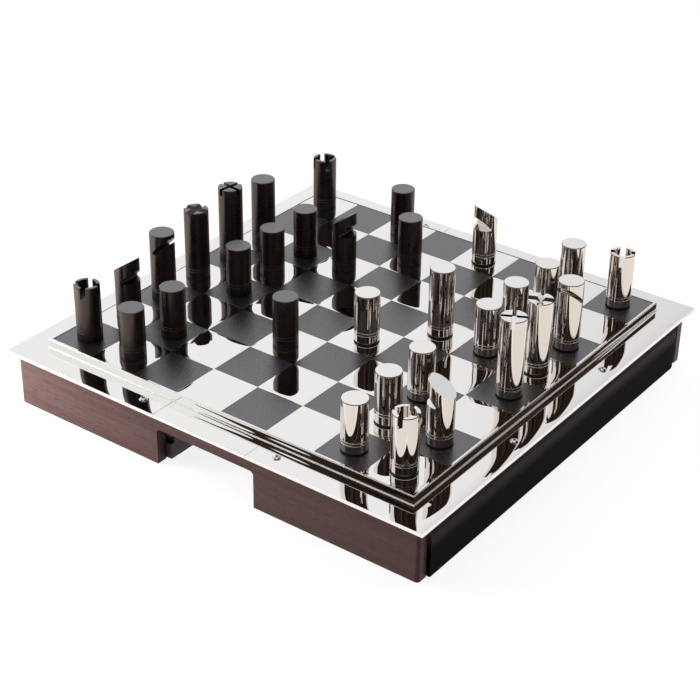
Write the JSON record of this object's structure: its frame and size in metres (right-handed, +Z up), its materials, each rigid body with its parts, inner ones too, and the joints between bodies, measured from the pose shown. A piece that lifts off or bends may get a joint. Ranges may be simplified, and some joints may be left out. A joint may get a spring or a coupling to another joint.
{
  "type": "chess set with board",
  "caption": "Square storage chess board with metal and leather squares, a flat metal rim, a notched walnut case with two drawers, and plain round metal chessmen with cut tops.",
  "frame": {"origin": "middle of the underside, on the table, below the centre of the playing field", "axes": "+X from the black side to the silver side, along the notched front; +Y from the notched front to the notched back; +Z up"},
  "size_m": [0.459, 0.459, 0.1412],
  "materials": {
    "walnut": "satin",
    "drawer_front_wood": "satin",
    "drawer_wood": "satin",
    "core_board": "matte",
    "polished_rim": "polished",
    "polished_plate": "polished",
    "screw_steel": "polished",
    "screw_brass": "satin",
    "leather": "satin",
    "felt": "matte",
    "black_metal": "satin",
    "silver_metal": "polished"
  },
  "bodies": {
    "board": {"front_wall": "walnut", "back_wall": "walnut", "deck": "walnut", "rim_sheet_left": "polished_rim", "rim_sheet_middle": "polished_rim", "rim_sheet_right": "polished_rim", "rim_screws": "screw_steel", "core_panel": "core_board", "playing_plate": "polished_plate", "leather_squares": "leather", "drawer_runners": "drawer_wood", "runner_screws": "screw_brass", "drawer_stop_pegs": "drawer_wood"},
    "left_drawer": {"left_drawer_front": "drawer_front_wood", "left_drawer_side_a": "drawer_wood", "left_drawer_side_b": "drawer_wood", "left_drawer_end": "drawer_wood", "left_drawer_bottom": "core_board", "left_drawer_lining": "felt"},
    "right_drawer": {"right_drawer_front": "drawer_front_wood", "right_drawer_side_a": "drawer_wood", "right_drawer_side_b": "drawer_wood", "right_drawer_end": "drawer_wood", "right_drawer_bottom": "core_board", "right_drawer_lining": "felt"},
    "black_rook_1": {"black_rook_1": "black_metal"},
    "black_knight_1": {"black_knight_1": "black_metal"},
    "black_bishop_1": {"black_bishop_1": "black_metal"},
    "black_queen": {"black_queen": "black_metal"},
    "black_king": {"black_king": "black_metal"},
    "black_bishop_2": {"black_bishop_2": "black_metal"},
    "black_knight_2": {"black_knight_2": "black_metal"},
    "black_rook_2": {"black_rook_2": "black_metal"},
    "black_pawn_1": {"black_pawn_1": "black_metal"},
    "black_pawn_2": {"black_pawn_2": "black_metal"},
    "black_pawn_3": {"black_pawn_3": "black_metal"},
    "black_pawn_4": {"black_pawn_4": "black_metal"},
    "black_pawn_5": {"black_pawn_5": "black_metal"},
    "black_pawn_6": {"black_pawn_6": "black_metal"},
    "black_pawn_7": {"black_pawn_7": "black_metal"},
    "black_pawn_8": {"black_pawn_8": "black_metal"},
    "silver_rook_1": {"silver_rook_1": "silver_metal"},
    "silver_knight_1": {"silver_knight_1": "silver_metal"},
    "silver_king": {"silver_king": "silver_metal"},
    "silver_queen": {"silver_queen": "silver_metal"},
    "silver_bishop_1": {"silver_bishop_1": "silver_metal"},
    "silver_bishop_2": {"silver_bishop_2": "silver_metal"},
    "silver_knight_2": {"silver_knight_2": "silver_metal"},
    "silver_rook_2": {"silver_rook_2": "silver_metal"},
    "silver_pawn_1": {"silver_pawn_1": "silver_metal"},
    "silver_pawn_2": {"silver_pawn_2": "silver_metal"},
    "silver_pawn_3": {"silver_pawn_3": "silver_metal"},
    "silver_pawn_4": {"silver_pawn_4": "silver_metal"},
    "silver_pawn_5": {"silver_pawn_5": "silver_metal"},
    "silver_pawn_6": {"silver_pawn_6": "silver_metal"},
    "silver_pawn_7": {"silver_pawn_7": "silver_metal"},
    "silver_pawn_8": {"silver_pawn_8": "silver_metal"}
  },
  "joints": [
    {"name": "left_drawer_slide", "type": "slide", "parent": "board", "child": "left_drawer", "axis": [-1, 0, 0], "range_m": [0, 0.11]},
    {"name": "right_drawer_slide", "type": "slide", "parent": "board", "child": "right_drawer", "axis": [1, 0, 0], "range_m": [0, 0.11]},
    {"name": "black_rook_1_lift", "type": "slide", "parent": "board", "child": "black_rook_1", "axis": [0, 0, 1], "range_m": [0, 0.12]},
    {"name": "black_knight_1_lift", "type": "slide", "parent": "board", "child": "black_knight_1", "axis": [0, 0, 1], "range_m": [0, 0.12]},
    {"name": "black_bishop_1_lift", "type": "slide", "parent": "board", "child": "black_bishop_1", "axis": [0, 0, 1], "range_m": [0, 0.12]},
    {"name": "black_queen_lift", "type": "slide", "parent": "board", "child": "black_queen", "axis": [0, 0, 1], "range_m": [0, 0.12]},
    {"name": "black_king_lift", "type": "slide", "parent": "board", "child": "black_king", "axis": [0, 0, 1], "range_m": [0, 0.12]},
    {"name": "black_bishop_2_lift", "type": "slide", "parent": "board", "child": "black_bishop_2", "axis": [0, 0, 1], "range_m": [0, 0.12]},
    {"name": "black_knight_2_lift", "type": "slide", "parent": "board", "child": "black_knight_2", "axis": [0, 0, 1], "range_m": [0, 0.12]},
    {"name": "black_rook_2_lift", "type": "slide", "parent": "board", "child": "black_rook_2", "axis": [0, 0, 1], "range_m": [0, 0.12]},
    {"name": "black_pawn_1_lift", "type": "slide", "parent": "board", "child": "black_pawn_1", "axis": [0, 0, 1], "range_m": [0, 0.12]},
    {"name": "black_pawn_2_lift", "type": "slide", "parent": "board", "child": "black_pawn_2", "axis": [0, 0, 1], "range_m": [0, 0.12]},
    {"name": "black_pawn_3_lift", "type": "slide", "parent": "board", "child": "black_pawn_3", "axis": [0, 0, 1], "range_m": [0, 0.12]},
    {"name": "black_pawn_4_lift", "type": "slide", "parent": "board", "child": "black_pawn_4", "axis": [0, 0, 1], "range_m": [0, 0.12]},
    {"name": "black_pawn_5_lift", "type": "slide", "parent": "board", "child": "black_pawn_5", "axis": [0, 0, 1], "range_m": [0, 0.12]},
    {"name": "black_pawn_6_lift", "type": "slide", "parent": "board", "child": "black_pawn_6", "axis": [0, 0, 1], "range_m": [0, 0.12]},
    {"name": "black_pawn_7_lift", "type": "slide", "parent": "board", "child": "black_pawn_7", "axis": [0, 0, 1], "range_m": [0, 0.12]},
    {"name": "black_pawn_8_lift", "type": "slide", "parent": "board", "child": "black_pawn_8", "axis": [0, 0, 1], "range_m": [0, 0.12]},
    {"name": "silver_rook_1_lift", "type": "slide", "parent": "board", "child": "silver_rook_1", "axis": [0, 0, 1], "range_m": [0, 0.12]},
    {"name": "silver_knight_1_lift", "type": "slide", "parent": "board", "child": "silver_knight_1", "axis": [0, 0, 1], "range_m": [0, 0.12]},
    {"name": "silver_king_lift", "type": "slide", "parent": "board", "child": "silver_king", "axis": [0, 0, 1], "range_m": [0, 0.12]},
    {"name": "silver_queen_lift", "type": "slide", "parent": "board", "child": "silver_queen", "axis": [0, 0, 1], "range_m": [0, 0.12]},
    {"name": "silver_bishop_1_lift", "type": "slide", "parent": "board", "child": "silver_bishop_1", "axis": [0, 0, 1], "range_m": [0, 0.12]},
    {"name": "silver_bishop_2_lift", "type": "slide", "parent": "board", "child": "silver_bishop_2", "axis": [0, 0, 1], "range_m": [0, 0.12]},
    {"name": "silver_knight_2_lift", "type": "slide", "parent": "board", "child": "silver_knight_2", "axis": [0, 0, 1], "range_m": [0, 0.12]},
    {"name": "silver_rook_2_lift", "type": "slide", "parent": "board", "child": "silver_rook_2", "axis": [0, 0, 1], "range_m": [0, 0.12]},
    {"name": "silver_pawn_1_lift", "type": "slide", "parent": "board", "child": "silver_pawn_1", "axis": [0, 0, 1], "range_m": [0, 0.12]},
    {"name": "silver_pawn_2_lift", "type": "slide", "parent": "board", "child": "silver_pawn_2", "axis": [0, 0, 1], "range_m": [0, 0.12]},
    {"name": "silver_pawn_3_lift", "type": "slide", "parent": "board", "child": "silver_pawn_3", "axis": [0, 0, 1], "range_m": [0, 0.12]},
    {"name": "silver_pawn_4_lift", "type": "slide", "parent": "board", "child": "silver_pawn_4", "axis": [0, 0, 1], "range_m": [0, 0.12]},
    {"name": "silver_pawn_5_lift", "type": "slide", "parent": "board", "child": "silver_pawn_5", "axis": [0, 0, 1], "range_m": [0, 0.12]},
    {"name": "silver_pawn_6_lift", "type": "slide", "parent": "board", "child": "silver_pawn_6", "axis": [0, 0, 1], "range_m": [0, 0.12]},
    {"name": "silver_pawn_7_lift", "type": "slide", "parent": "board", "child": "silver_pawn_7", "axis": [0, 0, 1], "range_m": [0, 0.12]},
    {"name": "silver_pawn_8_lift", "type": "slide", "parent": "board", "child": "silver_pawn_8", "axis": [0, 0, 1], "range_m": [0, 0.12]}
  ]
}
